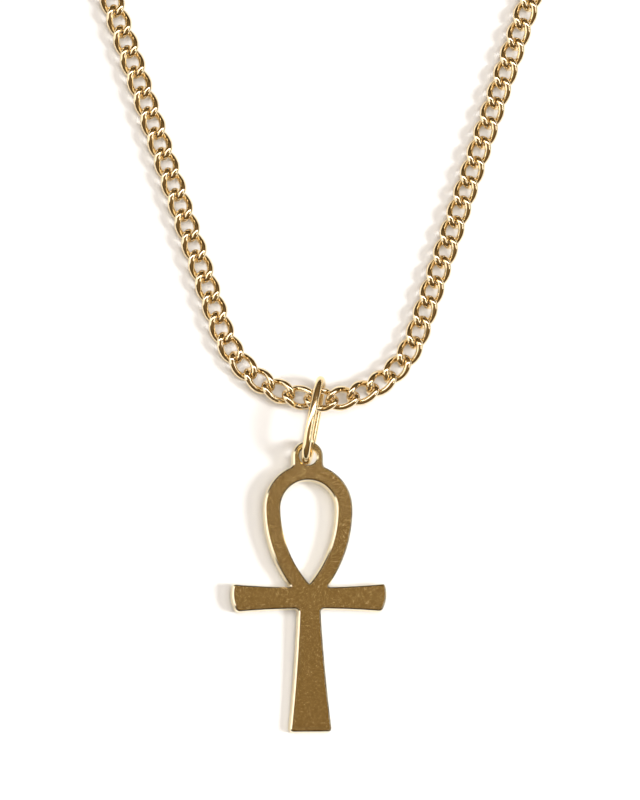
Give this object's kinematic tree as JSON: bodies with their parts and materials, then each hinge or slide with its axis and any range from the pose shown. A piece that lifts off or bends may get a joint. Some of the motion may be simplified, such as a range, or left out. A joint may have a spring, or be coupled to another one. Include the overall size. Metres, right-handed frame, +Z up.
{
  "type": "ankh pendant necklace on a curb chain",
  "caption": "Flat ankh pendant with a teardrop eye on an oval jump ring, on a closed loop of twisted curb chain with a plain barrel clasp, laid flat.",
  "frame": {"origin": "on the table, in the middle of the wide end of the chain's loop, where the neck goes", "axes": "+Z up from the table, +Y from the pendant towards the clasp, +X to the right of the pendant seen from above"},
  "size_m": [0.1092, 0.2361, 0.0067],
  "materials": {
    "satin_gold": "satin, fine grain",
    "polished_gold": "polished"
  },
  "bodies": {
    "root": {"ankh": "satin_gold", "jump_ring": "polished_gold", "chain_left": "polished_gold", "chain_right": "polished_gold", "clasp": "polished_gold"}
  },
  "joints": []
}
